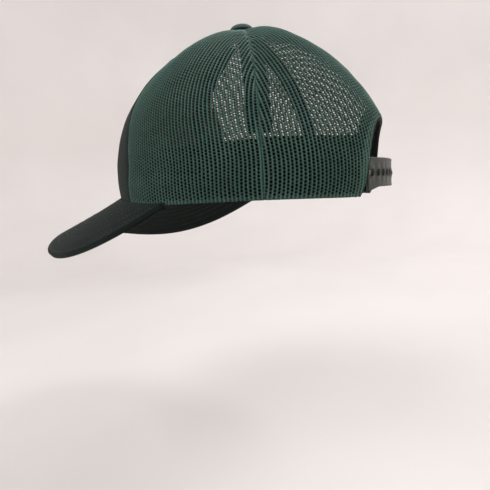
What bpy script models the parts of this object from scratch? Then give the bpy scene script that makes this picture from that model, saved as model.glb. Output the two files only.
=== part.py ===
"""Five-panel mesh cap with an arched visor and a two-strap snap closure.

Lengths are millimetres until they are written to a mesh. The cap stands upright
as worn: +Z is up, the visor points to -Y and the wearer's left is +X. The origin
is the centre of the head opening, in the plane of the rim.
"""

import math

import bpy
import bmesh
from mathutils import Vector
from mathutils.geometry import delaunay_2d_cdt

MM = 0.001

# Head opening
RIM_FRONT = 97.7
RIM_REAR = 100.0
RIM_SIDE = 83.0
RIM_RISE_FRONT = 6.0
RIM_DROP_REAR = 3.5

# Crown profile, a cubic curve at each bearing: (front, side, rear)
CROWN_HEIGHT = 118.0
APEX_BACK = 2.5
FLARE = (9.0, 5.0, 18.0)
WAIST = (54.0, 34.0, 28.0)
SHOULDER = (74.5, 62.0, 78.0)
SHOULDER_DROP = 7.5
PANEL_PUFF = 2.0

# Seams, as bearings from the front
FRONT_SEAM_LOW = 54.0
FRONT_SEAM_HIGH = 40.0
SIDE_SEAM = 112.0
SEAM_GAP = 0.2

# Layers, as depths below the outer surface
FABRIC = (0.0, 0.8)
MESH = (0.0, 0.9)
FOAM = (1.3, 3.8)
FOAM_EDGE_HIGH = 39.0
FOAM_WIDER = 19.0
FOAM_WIDER_ENDS = (0.4, 0.72)
FOAM_CORNER = 6.0
FOAM_CORNER_ENDS = (0.1, 0.19)
FOAM_TOP_RADIUS = 14.0
TAPE = (1.35, 2.0)
FRONT_TAPE = (4.25, 4.9)
TAPE_HALF = 6.0
TAPE_TOP_RADIUS = 13.0
BINDING = (1.35, 2.3)
BAND_DEPTH = 1.45
BAND_DEPTH_FRONT = 4.4
BAND_DEPTH_REAR = 2.9
BAND_THICK = 1.4
BAND_TOP = 34.0
BAND_END = 148.5
RIM_CLEAR = 0.01

# Rear opening, a superelliptic arch
ARCH_HALF = 43.0
ARCH_TOP = 47.0
ARCH_POWER = 2.5
BINDING_WIDTH = 8.0
BINDING_LIP = 1.2
BINDING_FOOT = 23.5

# Visor
VISOR_END = 76.0
VISOR_LENGTH = 167.0
VISOR_TIP_Z = -19.5
VISOR_TIP_ARM = 49.0
VISOR_SIDE = (98.0, 131.5, -58.0)
VISOR_END_WIDTH = 3.0
VISOR_STANDOFF = 1.0
VISOR_TOP = (1.05, 1.85)
VISOR_BOARD = (-1.0, 0.6)
VISOR_UNDER = (-2.25, -1.45)
VISOR_LIP = 0.8
VISOR_LIP_LOW = -1.1
EDGE_ROUND = 0.5
BOARD_SET_BACK = 1.3
VISOR_DROP = 0.6

# Closure straps, on one upright cylinder
STRAP_CENTRE_Y = 22.0
STRAP_RADIUS = 80.3
STRAP_THICK = 1.7
STRAP_GAP = 0.3
STRAP_TOP = 20.2
STRAP_FOOT_ROOT = 0.8
STRAP_FOOT_FREE = 2.8
STRAP_ROOT = 42.3
HOLE_Z = 11.2
HOLE_PITCH = 7.2
HOLE_FIRST = 39.0
HOLE_COUNT = 8
HOLE_RADIUS = 2.3
PEG_COUNT = 6
PEG_RADIUS = 1.5
PEG_HEIGHT = 2.7
STRAP_TIP = 4.7
STRAP_CORNER = 7.0
STRAP_FLARE = 14.0
PEG_LEVELS = ((1.0, 0.0), (0.93, 0.72), (0.66, 1.0))

# Button
BUTTON_RADIUS = 8.5
BUTTON_HEIGHT = 4.8
BUTTON_BASE = 118.5
RIVET_RADIUS = 2.2
WASHER_RADIUS = 6.5
CROWN_HOLE = 3.2
BUTTON_EDGE = 0.8
WASHER_TOP = 115.0
WASHER_THICK = 1.2
WASHER_EDGE = 0.4
RIVET_GAP = 0.3


def smooth(low, high, x):
    k = min(max((x - low) / (high - low), 0.0), 1.0)
    return k * k * (3 - 2 * k)


def by_bearing(values, c, s):
    front, side, rear = values
    return front * max(c, 0) ** 2 + side * s * s + rear * max(-c, 0) ** 2


def front_seam(t):
    return FRONT_SEAM_LOW + (FRONT_SEAM_HIGH - FRONT_SEAM_LOW) * smooth(0.15, 0.55, t)


def base(theta, t):
    """A point on the unpuffed crown: bearing in degrees from the front, t from rim to apex."""
    a = math.radians(theta)
    c, s = math.cos(a), math.sin(a)
    rim_y = (RIM_FRONT if c > 0 else RIM_REAR) * c
    rim_x = RIM_SIDE * s
    rim = math.hypot(rim_x, rim_y)
    edge = math.cos(math.radians(VISOR_END))
    low = RIM_RISE_FRONT * (max(c - edge, 0) / (1 - edge)) ** 1.5
    low -= RIM_DROP_REAR * max(-c, 0) ** 2
    b0, b1, b2, b3 = (1 - t) ** 3, 3 * t * (1 - t) ** 2, 3 * t * t * (1 - t), t**3
    out = (
        b0 * rim
        + b1 * (rim + by_bearing(FLARE, c, s))
        + b2 * by_bearing(SHOULDER, c, s)
    )
    z = (
        b0 * low
        + b1 * (low + by_bearing(WAIST, c, s))
        + b2 * (CROWN_HEIGHT - SHOULDER_DROP)
        + b3 * CROWN_HEIGHT
    )
    return Vector(
        (rim_x / rim * out, -rim_y / rim * out + APEX_BACK * (b2 + b3), z)
    )


def puff(theta, t):
    """How far a panel's middle swells between its seams."""
    a, f = min(abs(theta), 360 - abs(theta)), front_seam(t)
    if a < f:
        across = 0.5 + 0.5 * a / f
    elif a < SIDE_SEAM:
        across = (a - f) / (SIDE_SEAM - f)
    else:
        across = min((a - SIDE_SEAM) / (180 - SIDE_SEAM), 1.0)
    return PANEL_PUFF * 6.75 * t * t * (1 - t) * math.sin(math.pi * across) ** 2


def normal(theta, t):
    u = min(t, 0.985)
    around = base(theta + 0.5, u) - base(theta - 0.5, u)
    up = base(theta, u + 0.004) - base(theta, u - 0.004)
    return around.cross(up).normalized()


def crown(theta, t, depth=0.0):
    return base(theta, t) + normal(theta, t) * (puff(theta, t) - depth)


def bisect(rises, low, high):
    """The x where a rising function crosses zero."""
    for _ in range(40):
        mid = 0.5 * (low + high)
        if rises(mid) < 0:
            low = mid
        else:
            high = mid
    return 0.5 * (low + high)


def t_at_radius(theta, radius):
    axis = Vector((0, APEX_BACK, 0))

    def inward(t):
        p = base(theta, t) - axis
        return radius - math.hypot(p.x, p.y)

    return bisect(inward, 0.5, 1.0)


def t_at_height(theta, z):
    return bisect(lambda t: base(theta, t).z - z, 0.0, 0.8)


def radius_at(theta, t):
    p = base(theta, t)
    return max(math.hypot(p.x, p.y - APEX_BACK), CROWN_HOLE)


def gap_angle(theta, t):
    return math.degrees(SEAM_GAP / radius_at(theta, t))


def arch_half(z):
    if z <= 0:
        return ARCH_HALF
    return ARCH_HALF * max(1 - (z / ARCH_TOP) ** ARCH_POWER, 0) ** (1 / ARCH_POWER)


def rear_edge(t):
    """The bearing where a rear panel ends: at the arch below its top, at the centre seam above."""
    seam = 180 - gap_angle(180, t)

    def past(theta):
        p = base(theta, t)
        return arch_half(p.z) - p.x

    if past(seam) < 0:
        return seam
    return min(bisect(past, 125.0, 180.0), seam)


def rear_place(x, z):
    """The bearing and t of the rear crown point at this x and height."""
    theta, t = 165.0, 0.3
    for _ in range(12):
        t = t_at_height(theta, z)
        theta = bisect(lambda a, t=t: x - base(a, t).x, 112.0, 248.0)
    return theta, t


def add(name, verts, faces):
    """A closed mesh object whose faces point outwards."""
    mesh = bpy.data.meshes.new(name)
    mesh.from_pydata([tuple(v * MM) for v in verts], [], faces)
    bm = bmesh.new()
    bm.from_mesh(mesh)
    bmesh.ops.triangulate(bm, faces=bm.faces[:])
    bmesh.ops.recalc_face_normals(bm, faces=bm.faces[:])
    if bm.calc_volume(signed=True) < 0:
        bmesh.ops.reverse_faces(bm, faces=bm.faces[:])
    bm.to_mesh(mesh)
    bm.free()
    obj = bpy.data.objects.new(name, mesh)
    bpy.context.scene.collection.objects.link(obj)
    return obj


def slab(name, place, us, vs, depths):
    """A sheet of crown between two depths. place(u, v) gives its bearing and t."""
    verts, faces = [], []
    rows, cols = len(vs), len(us)
    for side in (0, 1):
        for v in vs:
            for u in us:
                theta, t = place(u, v)
                depth = depths[side]
                depth = depth(theta) if callable(depth) else depth
                verts.append(crown(theta, t, depth))
    far = rows * cols

    def at(r, c, side):
        return side * far + r * cols + c

    for r in range(rows - 1):
        for c in range(cols - 1):
            for side in (0, 1):
                faces.append(
                    [
                        at(r, c, side),
                        at(r, c + 1, side),
                        at(r + 1, c + 1, side),
                        at(r + 1, c, side),
                    ][:: 1 - 2 * side]
                )
    ring = (
        [(0, c) for c in range(cols)]
        + [(r, cols - 1) for r in range(1, rows)]
        + [(rows - 1, c) for c in range(cols - 2, -1, -1)]
        + [(r, 0) for r in range(rows - 2, 0, -1)]
    )
    for (r0, c0), (r1, c1) in zip(ring, ring[1:] + ring[:1], strict=True):
        faces.append([at(r1, c1, 0), at(r0, c0, 0), at(r0, c0, 1), at(r1, c1, 1)])
    return add(name, verts, faces)


def steps(count):
    return [i / count for i in range(count + 1)]


def spun(name, profile, centre, sides=28):
    """A solid of revolution about an upright axis from (radius, z) points, first and last on the axis."""
    verts, faces = [], []
    rings = profile[1:-1]
    verts.append(Vector((centre[0], centre[1], profile[0][1])))
    for r, z in rings:
        for k in range(sides):
            a = 2 * math.pi * k / sides
            verts.append(
                Vector((centre[0] + r * math.cos(a), centre[1] + r * math.sin(a), z))
            )
    verts.append(Vector((centre[0], centre[1], profile[-1][1])))
    last = len(verts) - 1
    for k in range(sides):
        n = (k + 1) % sides
        faces.append([0, 1 + n, 1 + k])
        for i in range(len(rings) - 1):
            a, b = 1 + i * sides, 1 + (i + 1) * sides
            faces.append([a + k, a + n, b + n, b + k])
        a = 1 + (len(rings) - 1) * sides
        faces.append([a + k, a + n, last])
    return add(name, verts, faces)


# ---------------------------------------------------------------- crown


def make_front_panel():
    def place(u, v):
        t = v * t_at_radius(0, CROWN_HOLE)
        edge = front_seam(t)
        theta = u * (edge - gap_angle(edge, t))
        return theta, v * t_at_radius(theta, CROWN_HOLE)

    slab("front_panel", place, [2 * u - 1 for u in steps(20)], steps(17), FABRIC)


def foam_edge(t):
    """The bearing where the foam ends: behind the side panels below, at the front seams above."""
    wider = FOAM_WIDER * (1 - smooth(*FOAM_WIDER_ENDS, t))
    corner = FOAM_CORNER * (1 - smooth(*FOAM_CORNER_ENDS, t))
    return FOAM_EDGE_HIGH + wider + corner


def make_front_foam():
    def place(u, v):
        t = v * t_at_radius(0, FOAM_TOP_RADIUS)
        theta = u * foam_edge(t)
        span = t_at_radius(theta, FOAM_TOP_RADIUS) - RIM_CLEAR
        return theta, RIM_CLEAR + v * span

    rows = [0, 0.06, 0.11, 0.14, 0.17, 0.2, 0.24, 0.3] + [
        0.3 + 0.7 * k / 11 for k in range(1, 12)
    ]
    slab("front_foam", place, [2 * u - 1 for u in steps(22)], rows, FOAM)


def make_side_panel(name, sign):
    def place(u, v):
        t = v * t_at_radius(80, CROWN_HOLE)
        front = front_seam(t)
        low = front + gap_angle(front, t)
        high = SIDE_SEAM - gap_angle(SIDE_SEAM, t)
        theta = low + u * (high - low)
        return sign * theta, v * t_at_radius(theta, CROWN_HOLE)

    slab(name, place, steps(12), steps(18), MESH)


def make_rear_panel(name, sign):
    apex = t_at_height(180, ARCH_TOP)
    below = [0, 0.12, 0.24, 0.36, 0.48, 0.6, 0.7, 0.79, 0.87, 0.93, 0.97, 0.99, 1]
    rows = [k * apex for k in below]
    top = t_at_radius(145, CROWN_HOLE)
    rows += [apex + (top - apex) * k / 11 for k in range(1, 12)]

    def place(u, t):
        low = SIDE_SEAM + gap_angle(SIDE_SEAM, t)
        theta = low + u * (rear_edge(t) - low)
        lift = t / top
        return sign * theta, t + (t_at_radius(theta, CROWN_HOLE) - top) * lift**8

    slab(name, place, steps(12), rows, MESH)


def make_seam_tape(name, bearing, depths, low_z):
    """Its lower end clears low_z at the corner nearer the back, where a height is reached later."""
    a = abs(bearing(0.28))
    back_corner = min(a + TAPE_HALF, 180)
    low = t_at_height(back_corner, low_z)
    high = t_at_radius(a, TAPE_TOP_RADIUS)

    def place(u, v):
        t = low + v * (high - low)
        theta = bearing(t)
        return theta + math.degrees(u * TAPE_HALF / radius_at(theta, t)), t

    slab(name, place, [-1, 0, 1], steps(16), depths)


def make_sweatband():
    def outer(theta):
        """Deeper behind the foam in front, and behind the binding's feet at the rear."""
        a = abs(theta)
        front = 1 - smooth(66.0, 80.0, a)
        rear = smooth(128.0, 138.0, a)
        deeper = (BAND_DEPTH_FRONT - BAND_DEPTH) * front
        return BAND_DEPTH + deeper + (BAND_DEPTH_REAR - BAND_DEPTH) * rear

    def place(u, v):
        theta = u * BAND_END
        return theta, RIM_CLEAR + v * (t_at_height(theta, BAND_TOP) - RIM_CLEAR)

    slab(
        "sweatband",
        place,
        [2 * u - 1 for u in steps(64)],
        steps(4),
        (outer, lambda theta: outer(theta) + BAND_THICK),
    )


def arch_path(offset, count):
    """Points along the arch, moved outwards by offset, from the left foot over the top."""
    foot = math.asin((BINDING_FOOT / ARCH_TOP) ** (ARCH_POWER / 2))

    def at(a):
        c, s = math.cos(a), math.sin(a)
        power = 2 / ARCH_POWER
        return Vector(
            (
                math.copysign(ARCH_HALF * abs(c) ** power, c),
                ARCH_TOP * max(s, 0) ** power,
            )
        )

    path = []
    for i in range(count + 1):
        a = foot + (math.pi - 2 * foot) * i / count
        along = (at(a + 0.01) - at(a - 0.01)).normalized()
        path.append(at(a) + offset * Vector((along.y, -along.x)))
    return path


def make_opening_binding():
    widths = [-BINDING_LIP, BINDING_WIDTH * 0.45, BINDING_WIDTH]
    count = 28
    paths = [arch_path(w, count) for w in widths]
    cache = {}

    def place(u, v):
        key = (u, v)
        if key not in cache:
            p = paths[v][u]
            cache[key] = rear_place(p.x, p.y)
        return cache[key]

    slab("opening_binding", place, range(count + 1), range(len(widths)), BINDING)


# ---------------------------------------------------------------- visor


def visor_edge(u):
    """The visor's outer edge, from -1 at the right end over the tip to 1 at the left end."""
    k = abs(u)
    end = base(VISOR_END, 0)
    out = Vector((end.x, end.y, 0)).normalized()
    side_x, side_y, side_z = VISOR_SIDE
    points = (
        Vector((0, -VISOR_LENGTH, VISOR_TIP_Z)),
        Vector((VISOR_TIP_ARM, -VISOR_LENGTH, VISOR_TIP_Z)),
        Vector((side_x, -side_y, side_z)),
        end + out * (VISOR_STANDOFF + VISOR_END_WIDTH) + Vector((0, 0, -VISOR_DROP)),
    )
    weights = ((1 - k) ** 3, 3 * k * (1 - k) ** 2, 3 * k * k * (1 - k), k**3)
    p = sum((q * w for q, w in zip(points, weights, strict=True)), Vector())
    p.x = math.copysign(p.x, u) if u else 0.0
    return p


def visor_root(u):
    p = base(VISOR_END * u, 0)
    out = Vector((p.x, p.y, 0)).normalized()
    return p + out * VISOR_STANDOFF + Vector((0, 0, -VISOR_DROP))


def visor_frame(u):
    """A rib of the visor: its root, its direction, the way up and its length."""
    root, edge = visor_root(u), visor_edge(u)
    h = 0.01
    a, b = max(u - h, -1), min(u + h, 1)
    middle = (visor_root(b) + visor_edge(b) - visor_root(a) - visor_edge(a)) / 2
    along = edge - root
    up = middle.cross(along).normalized()
    if up.z < 0:
        up = -up
    return root, along.normalized(), up, along.length


def make_visor_layer(name, outline, ribs=34):
    """outline(length) gives the closed cross-section as (distance from the root, height) pairs."""
    verts, faces = [], []
    count = len(outline(10.0))
    for i in range(ribs + 1):
        root, along, up, length = visor_frame(2 * i / ribs - 1)
        for d, n in outline(length):
            verts.append(root + along * d + up * n)
    for i in range(ribs):
        for k in range(count):
            n = (k + 1) % count
            a, b = i * count, (i + 1) * count
            faces.append([a + k, a + n, b + n, b + k])
    # The outline's halves run side by side, so each end is closed by a strip of quads.
    for start, turn in ((0, 1), (ribs * count, -1)):
        for k in range(count // 2 - 1):
            faces.append(
                [start + k, start + k + 1, start + count - 2 - k, start + count - 1 - k][
                    ::turn
                ]
            )
    return add(name, verts, faces)


def flat_outline(low, high, back):
    def outline(length):
        stops = [length * f for f in (0, 0.25, 0.5, 0.75)] + [length - back]
        return [(d, high) for d in stops] + [(d, low) for d in reversed(stops)]

    return outline


def lipped_outline(length):
    """The top cloth turns down over the board's edge."""
    low, high = VISOR_TOP
    fold = length - VISOR_LIP
    stops = [fold * f for f in (0, 0.2, 0.45, 0.7)]
    outer = [(d, high) for d in stops]
    outer += [(length - EDGE_ROUND, high), (length, high - EDGE_ROUND)]
    outer += [(length, VISOR_LIP_LOW)]
    inner = [(fold, VISOR_LIP_LOW), (fold, low), (fold * 0.85, low)]
    return outer + inner + [(d, low) for d in reversed(stops)]


def make_visor():
    make_visor_layer("visor_top_fabric", lipped_outline)
    make_visor_layer("visor_board", flat_outline(*VISOR_BOARD, BOARD_SET_BACK))
    make_visor_layer("visor_under_fabric", flat_outline(*VISOR_UNDER, 0.0))


# ---------------------------------------------------------------- closure


def ring_points(x, z, radius, sides=14):
    return [
        (
            x + radius * math.cos(2 * math.pi * k / sides),
            z + radius * math.sin(2 * math.pi * k / sides),
        )
        for k in range(sides)
    ]


def root_set_back(z):
    """How far the strap's root gives way to the arch at this height."""
    return 1.1 * (arch_half(0) - arch_half(z))


def strap_outline(length):
    """A strap laid flat: x is the distance from its root."""
    middle = length - STRAP_CORNER
    top = [(length * k / 16, STRAP_TOP) for k in range(15)]
    top = [p for p in top if p[0] < middle - 0.5]
    top[0] = (root_set_back(STRAP_TOP), STRAP_TOP)
    corner = []
    for k in range(7):
        a = math.pi / 2 * (1 - k / 6)
        corner.append(
            (
                middle + STRAP_CORNER * math.cos(a),
                STRAP_TOP - STRAP_CORNER + STRAP_CORNER * math.sin(a),
            )
        )
    for k in range(7):
        a = -math.pi / 2 * k / 6
        corner.append(
            (
                middle + STRAP_CORNER * math.cos(a),
                STRAP_FOOT_FREE + STRAP_CORNER + STRAP_CORNER * math.sin(a),
            )
        )
    foot = []
    for x, _ in reversed(top):
        ease = smooth(0.0, STRAP_FLARE, x)
        foot.append((x, STRAP_FOOT_ROOT + (STRAP_FOOT_FREE - STRAP_FOOT_ROOT) * ease))
    foot[-1] = (0.0, STRAP_FOOT_ROOT)
    root = [(root_set_back(z), z) for z in (7.0, 13.0, 17.0)]
    return top + corner + foot + root


def make_strap(name, side, outer, length, holes, pegs):
    """side is 1 for a strap rooted on the left. holes and pegs are distances from the root."""
    root = math.asin(STRAP_ROOT / STRAP_RADIUS)
    loops = [strap_outline(length)]
    loops += [ring_points(x, HOLE_Z, HOLE_RADIUS) for x in holes]
    loops += [ring_points(x, HOLE_Z, PEG_RADIUS) for x in pegs]
    flat, edges = [], []
    for loop in loops:
        start = len(flat)
        flat += [Vector(p) for p in loop]
        edges += [
            (start + k, start + (k + 1) % len(loop)) for k in range(len(loop))
        ]
    flat += [Vector((x, HOLE_Z)) for x in pegs]
    points, _, faces, *_ = delaunay_2d_cdt(flat, edges, [], 1, 1e-6)

    def on_cylinder(x, z, radius):
        a = side * (root - x / STRAP_RADIUS)
        return Vector((radius * math.sin(a), STRAP_CENTRE_Y + radius * math.cos(a), z))

    def in_ring(p, centres, radius):
        for x in centres:
            if math.hypot(p.x - x, p.y - HOLE_Z) < radius:
                return x
        return None

    inner = outer - STRAP_THICK
    verts = [on_cylinder(p.x, p.y, outer) for p in points]
    verts += [on_cylinder(p.x, p.y, inner) for p in points]
    count = len(points)
    levels = {}

    def raised(i, x, level):
        """A peg's vertex above vertex i, at one of the levels up to its tip."""
        key = (i, level)
        if key not in levels:
            share, rise = PEG_LEVELS[level]
            p = points[i]
            levels[key] = len(verts)
            verts.append(
                on_cylinder(
                    x + (p.x - x) * share,
                    HOLE_Z + (p.y - HOLE_Z) * share,
                    outer + PEG_HEIGHT * rise,
                )
            )
        return levels[key]

    out, border, rims = [], {}, {}
    for face in faces:
        middle = sum((points[i] for i in face), Vector((0, 0))) / len(face)
        if in_ring(middle, holes, HOLE_RADIUS) is not None:
            continue
        peg = in_ring(middle, pegs, PEG_RADIUS)
        if peg is None:
            out.append(list(face))
        else:
            out.append([raised(i, peg, 2) for i in face])
        out.append([count + i for i in reversed(face)])
        for a, b in zip(face, list(face[1:]) + [face[0]], strict=True):
            border[(a, b)] = True
            if peg is not None:
                rims[(a, b)] = peg
    for a, b in border:
        if (b, a) not in border:
            out.append([b, a, count + a, count + b])
    for (a, b), peg in rims.items():
        if (b, a) not in rims:
            low = [a, b]
            mid = [raised(a, peg, 1), raised(b, peg, 1)]
            high = [raised(a, peg, 2), raised(b, peg, 2)]
            out.append([low[0], low[1], mid[1], mid[0]])
            out.append([mid[0], mid[1], high[1], high[0]])
    return add(name, verts, out)


def make_closure():
    root = math.asin(STRAP_ROOT / STRAP_RADIUS)
    first = (root - math.asin(HOLE_FIRST / STRAP_RADIUS)) * STRAP_RADIUS
    holes = [first + k * HOLE_PITCH for k in range(HOLE_COUNT)]
    make_strap(
        "hole_strap", 1, STRAP_RADIUS, holes[-1] + STRAP_TIP, holes, []
    )
    span = 2 * root * STRAP_RADIUS
    pegs = [span - holes[-2] - k * HOLE_PITCH for k in range(PEG_COUNT)]
    make_strap(
        "peg_strap",
        -1,
        STRAP_RADIUS - STRAP_THICK - STRAP_GAP,
        pegs[0] + STRAP_TIP,
        [],
        pegs,
    )


# ---------------------------------------------------------------- button


def make_button():
    centre = (0.0, APEX_BACK)
    dome = [(0, BUTTON_BASE), (BUTTON_RADIUS - BUTTON_EDGE, BUTTON_BASE)]
    for k in range(7):
        a = math.pi / 2 * k / 7
        dome.append(
            (
                BUTTON_RADIUS * math.cos(a),
                BUTTON_BASE
                + BUTTON_EDGE
                + (BUTTON_HEIGHT - BUTTON_EDGE) * math.sin(a),
            )
        )
    dome.append((0, BUTTON_BASE + BUTTON_HEIGHT))
    spun("button_cover", dome, centre)
    foot = WASHER_TOP - WASHER_THICK
    spun(
        "button_rivet",
        [
            (0, foot),
            (WASHER_RADIUS - WASHER_EDGE, foot),
            (WASHER_RADIUS, foot + WASHER_EDGE),
            (WASHER_RADIUS, WASHER_TOP),
            (RIVET_RADIUS, WASHER_TOP),
            (RIVET_RADIUS, BUTTON_BASE - RIVET_GAP),
            (0, BUTTON_BASE - RIVET_GAP),
        ],
        centre,
    )


def main():
    for obj in list(bpy.data.objects):
        bpy.data.objects.remove(obj)
    make_front_panel()
    make_front_foam()
    for side, sign in (("left", 1), ("right", -1)):
        make_side_panel(f"side_panel_{side}", sign)
        make_rear_panel(f"rear_panel_{side}", sign)
        make_seam_tape(
            f"seam_tape_front_{side}",
            lambda t, sign=sign: sign * front_seam(t),
            FRONT_TAPE,
            BAND_TOP + 2.0,
        )
        make_seam_tape(
            f"seam_tape_side_{side}", lambda t, sign=sign: sign * SIDE_SEAM, TAPE, 36.0
        )
    make_seam_tape(
        "seam_tape_rear", lambda t: 180.0, TAPE, ARCH_TOP + BINDING_WIDTH + 1.0
    )
    make_sweatband()
    make_opening_binding()
    make_visor()
    make_closure()
    make_button()


main()
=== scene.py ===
import math

import bpy
import numpy as np
from mathutils import Matrix, Vector
from mathutils.geometry import delaunay_2d_cdt


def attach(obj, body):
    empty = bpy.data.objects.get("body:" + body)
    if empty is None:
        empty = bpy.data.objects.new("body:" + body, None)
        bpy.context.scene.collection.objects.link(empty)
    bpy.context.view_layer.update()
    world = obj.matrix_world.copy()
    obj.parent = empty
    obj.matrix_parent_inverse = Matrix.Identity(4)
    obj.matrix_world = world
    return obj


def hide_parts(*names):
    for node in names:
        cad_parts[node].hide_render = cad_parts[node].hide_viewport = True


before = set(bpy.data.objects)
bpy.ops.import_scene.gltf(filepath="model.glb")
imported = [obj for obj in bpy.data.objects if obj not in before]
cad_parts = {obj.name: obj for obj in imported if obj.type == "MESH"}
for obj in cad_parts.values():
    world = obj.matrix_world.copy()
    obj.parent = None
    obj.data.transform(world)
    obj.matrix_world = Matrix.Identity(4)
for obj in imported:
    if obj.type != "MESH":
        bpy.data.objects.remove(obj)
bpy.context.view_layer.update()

# Lengths are millimetres until they are written to a mesh. The crown's formulas are the
# part's own: a bearing theta in degrees from the front, and t from the rim to the apex.
MM = 0.001
RIM_FRONT, RIM_REAR, RIM_SIDE = 97.7, 100.0, 83.0
RIM_RISE_FRONT, RIM_DROP_REAR = 6.0, 3.5
CROWN_HEIGHT, APEX_BACK = 118.0, 2.5
FLARE = (9.0, 5.0, 18.0)
WAIST = (54.0, 34.0, 28.0)
SHOULDER = (74.5, 62.0, 78.0)
SHOULDER_DROP = 7.5
PANEL_PUFF = 2.0
FRONT_SEAM_LOW, FRONT_SEAM_HIGH, SIDE_SEAM = 54.0, 40.0, 112.0
SEAM_GAP = 0.2
CROWN_HOLE = 3.2
ARCH_HALF, ARCH_TOP, ARCH_POWER = 43.0, 47.0, 2.5
VISOR_END = 76.0
VISOR_END_REACH, VISOR_DROP = 4.0, 0.6
VISOR_POINTS = ((0, -167.0, -19.5), (49.0, -167.0, -19.5), (98.0, -131.5, -58.0))
STRAP_CENTRE_Y, STRAP_RADIUS, STRAP_THICK, STRAP_GAP = 22.0, 80.3, 1.7, 0.3
STRAP_TOP, STRAP_FOOT_ROOT, STRAP_FOOT_FREE, STRAP_ROOT = 20.2, 0.8, 2.8, 42.3
STRAP_CORNER, STRAP_FLARE, STRAP_TIP = 7.0, 14.0, 4.7
# The strap's face lies a little under its raised border
STRAP_FACE = -0.12
HOLE_Z, HOLE_PITCH, HOLE_FIRST, HOLE_COUNT, HOLE_RADIUS = 11.2, 7.2, 39.0, 8, 2.3
PEG_COUNT = 6
# A peg's side: its radius at each height above the strap
PEG_PROFILE = (
    (1.95, -0.3), (1.7, 0.05), (1.45, 0.35), (1.4, 1.5),
    (1.5, 1.95), (1.35, 2.4), (0.9, 2.66), (0.01, 2.72),
)
PEG_SIDES = 20
BUTTON_RADIUS, BUTTON_HEIGHT, BUTTON_BASE = 8.5, 4.8, 118.5

# The knitted net: hole columns this far apart, holes this far apart in a column
NET_PITCH = 2.4
NET_STEP = 1.95
NET_HOLE = (0.66, 0.72)
# The net's depths under the crown: front and back of a rib, of the web, and the waist of a hole
RIB_DEPTHS = (-0.2, 0.7)
WEB_DEPTHS = (0.14, 0.56)
HOLE_WAIST = 0.34
# How far past a seam, in columns, a cell's centre may lie, low down and near the button
CELL_REACH, CELL_REACH_TOP = 0.47, 0.97

# The foam's outline, as bearings, and the radius where it stops short of the button
FOAM_EDGE_HIGH = 39.0
FOAM_WIDER, FOAM_WIDER_ENDS = 19.0, (0.4, 0.72)
FOAM_CORNER, FOAM_CORNER_ENDS = 6.0, (0.1, 0.19)
FOAM_TOP_RADIUS = 14.0
FOAM_DEPTHS = (1.3, 3.75)

# Seam tapes: half width, the offset of their stitches, and where they stop near the button
TAPE_HALF, TAPE_STITCH, TAPE_TOP_RADIUS = 6.0, 4.6, 13.0
# Their foot's height and depths under the crown. The front ones lie behind the foam
TAPE_LOW = 36.0
TAPE_DEPTHS = (1.35, 1.9)
FRONT_TAPE_DEPTHS = (4.25, 4.8)

# The binding: its depths under the crown, and its stitch rows, out from the arch
BINDING_DEPTHS = (1.35, 2.25)
BINDING_ROWS = (1.6, 6.6)

# The sweatband's ends, height, thickness and stitch rows, as shares of its height
BAND_END, BAND_HEIGHT, BAND_THICK = 148.5, 34.0, 1.3
BAND_ROWS = (0.1, 0.93)


# ---------------------------------------------------------------- shape of the crown


def smooth(low, high, x):
    k = np.clip((x - low) / (high - low), 0.0, 1.0)
    return k * k * (3 - 2 * k)


def by_bearing(values, c, s):
    front, side, rear = values
    return front * np.maximum(c, 0) ** 2 + side * s * s + rear * np.maximum(-c, 0) ** 2


def front_seam(t):
    return FRONT_SEAM_LOW + (FRONT_SEAM_HIGH - FRONT_SEAM_LOW) * smooth(0.15, 0.55, t)


def base(theta, t):
    """Points on the unpuffed crown, on a last axis of three."""
    theta, t = np.broadcast_arrays(np.asarray(theta, float), np.asarray(t, float))
    a = np.radians(theta)
    c, s = np.cos(a), np.sin(a)
    rim_y = np.where(c > 0, RIM_FRONT, RIM_REAR) * c
    rim_x = RIM_SIDE * s
    rim = np.hypot(rim_x, rim_y)
    edge = math.cos(math.radians(VISOR_END))
    low = RIM_RISE_FRONT * (np.maximum(c - edge, 0) / (1 - edge)) ** 1.5
    low = low - RIM_DROP_REAR * np.maximum(-c, 0) ** 2
    b0, b1, b2, b3 = (1 - t) ** 3, 3 * t * (1 - t) ** 2, 3 * t * t * (1 - t), t**3
    out = b0 * rim + b1 * (rim + by_bearing(FLARE, c, s)) + b2 * by_bearing(SHOULDER, c, s)
    z = b0 * low + b1 * (low + by_bearing(WAIST, c, s))
    z = z + b2 * (CROWN_HEIGHT - SHOULDER_DROP) + b3 * CROWN_HEIGHT
    return np.stack([rim_x / rim * out, -rim_y / rim * out + APEX_BACK * (b2 + b3), z], -1)


def normal(theta, t):
    u = np.minimum(t, 0.985)
    around = base(theta + 0.5, u) - base(theta - 0.5, u)
    up = base(theta, u + 0.004) - base(theta, u - 0.004)
    n = np.cross(around, up)
    return n / np.linalg.norm(n, axis=-1, keepdims=True)


def radius_at(theta, t):
    p = base(theta, t)
    return np.maximum(np.hypot(p[..., 0], p[..., 1] - APEX_BACK), CROWN_HOLE)


def across_panel(theta, t):
    """0 at a panel's front seam, 1 at its rear seam."""
    a = np.abs((np.asarray(theta, float) + 180) % 360 - 180)
    f = front_seam(t)
    side = (a - f) / (SIDE_SEAM - f)
    rear = (a - SIDE_SEAM) / (180 - SIDE_SEAM)
    return np.where(a < f, 0.5 + 0.5 * a / f, np.where(a < SIDE_SEAM, side, rear)), a


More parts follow.
